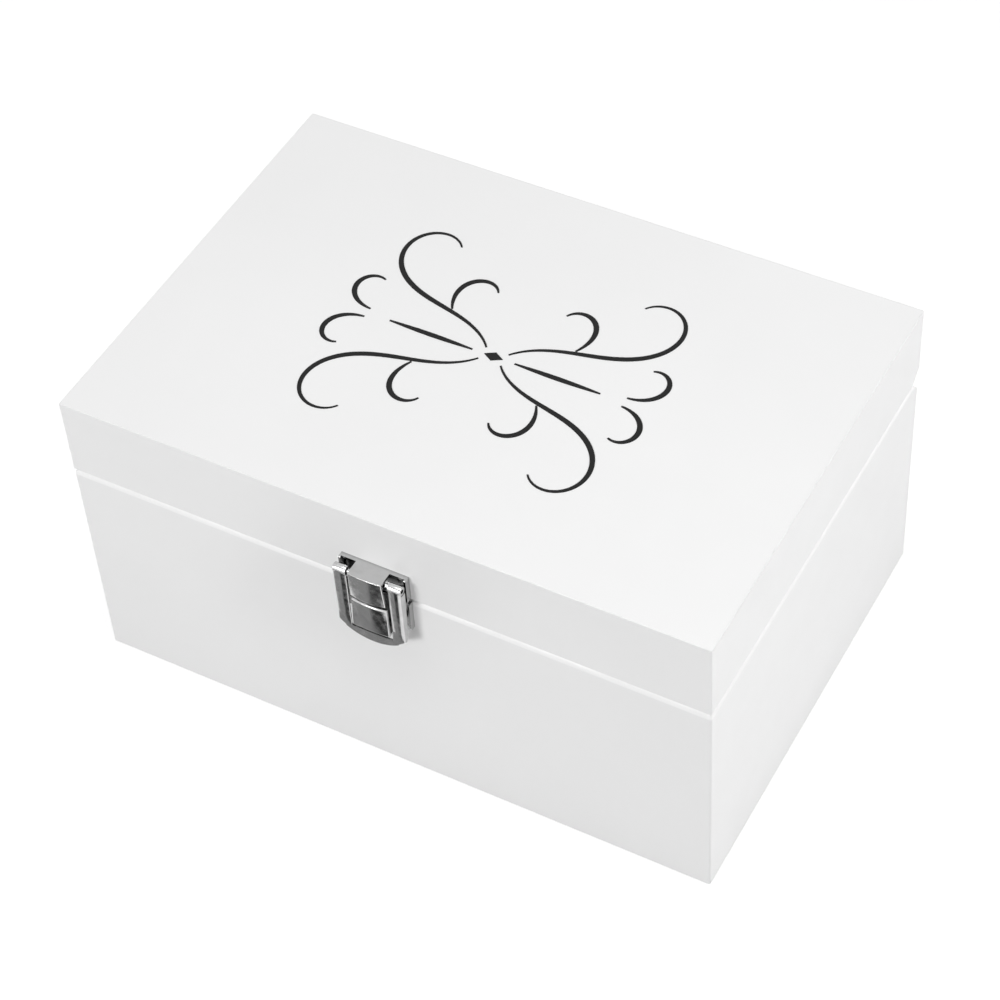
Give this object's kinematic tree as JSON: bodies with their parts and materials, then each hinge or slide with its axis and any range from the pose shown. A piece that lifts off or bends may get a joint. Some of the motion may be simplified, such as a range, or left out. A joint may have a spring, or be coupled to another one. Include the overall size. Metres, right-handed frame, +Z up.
{
  "type": "keepsake box",
  "caption": "Rectangular painted wooden keepsake box with a rear-hinged lid, a mirror inside the lid and a folded-metal swing latch on the front.",
  "frame": {"origin": "middle of the box's underside, on the surface it stands on", "axes": "+X along the front from left to right, +Y from front to back, +Z up"},
  "size_m": [0.3, 0.2147, 0.1551],
  "materials": {
    "paint": "smooth white satin paint on wood",
    "lining": "short grey felt",
    "ornament": "matte black vinyl film",
    "tape": "white foam tape",
    "mirror": "polished silvered glass",
    "hinge_metal": "satin nickel plate",
    "screws": "satin nickel plate",
    "latch_metal": "antiqued nickel plate"
  },
  "bodies": {
    "base": {"base_front_wall": "paint", "base_back_wall": "paint", "base_left_wall": "paint", "base_right_wall": "paint", "floor_panel": "paint", "floor_liner": "lining", "hinge_left_base_leaf": "hinge_metal", "hinge_right_base_leaf": "hinge_metal", "hinge_left_pin": "hinge_metal", "hinge_right_pin": "hinge_metal", "hinge_base_screws": "screws", "latch_base_plate": "latch_metal", "latch_base_screws": "screws"},
    "lid": {"lid_front_rail": "paint", "lid_back_rail": "paint", "lid_left_rail": "paint", "lid_right_rail": "paint", "lid_top_panel": "paint", "lid_ornament": "ornament", "mirror_tape": "tape", "mirror_glass": "mirror", "hinge_left_lid_leaf": "hinge_metal", "hinge_right_lid_leaf": "hinge_metal", "hinge_lid_screws": "screws", "latch_lid_plate": "latch_metal", "latch_pin": "latch_metal", "latch_lid_screws": "screws"},
    "latch_loop": {"latch_loop": "latch_metal"}
  },
  "joints": [
    {"name": "lid_open", "type": "hinge", "parent": "base", "child": "lid", "pos_m": [0, 0.0969, 0.11532], "axis": [-1, 0, 0], "range_deg": [0, 98]},
    {"name": "latch_swing", "type": "hinge", "parent": "lid", "child": "latch_loop", "pos_m": [0, -0.1086, 0.12677], "axis": [-1, 0, 0], "range_deg": [0, 175]}
  ]
}
